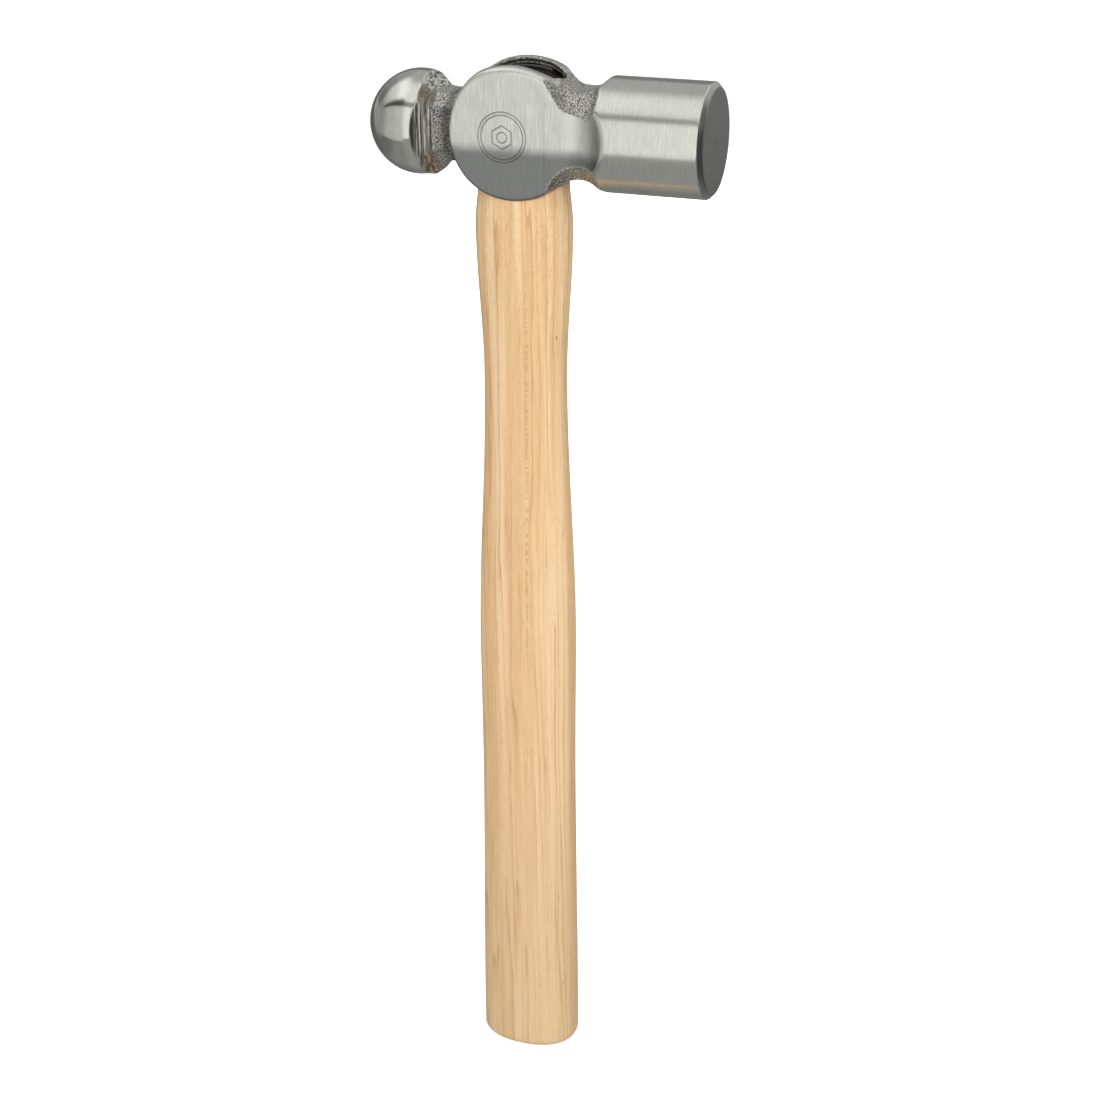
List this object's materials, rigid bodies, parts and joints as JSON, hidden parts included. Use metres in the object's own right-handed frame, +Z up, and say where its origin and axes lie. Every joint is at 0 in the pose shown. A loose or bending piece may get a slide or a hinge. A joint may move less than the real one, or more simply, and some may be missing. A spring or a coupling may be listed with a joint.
{
  "type": "ball peen hammer",
  "caption": "Ball peen hammer with a forged steel head, flat striking face, ball end and oval wooden handle, for driving punches and chisels and for rounding metal.",
  "frame": {"origin": "centre of the handle's flat butt face", "axes": "+Z up the handle to the head, +X toward the striking face, Y across the flat cheeks"},
  "size_m": [0.118, 0.0372, 0.38],
  "materials": {
    "forged_steel": "ball, cheeks and striking end ground bright, necks left as forged, bevel and face darker",
    "hickory": "clear satin over straight pale grain",
    "wedge_wood": "darkened end grain",
    "wedge_steel": "cut steel"
  },
  "bodies": {
    "root": {"head": "forged_steel", "handle": "hickory", "wood_wedge": "wedge_wood", "steel_wedge": "wedge_steel"}
  },
  "joints": []
}
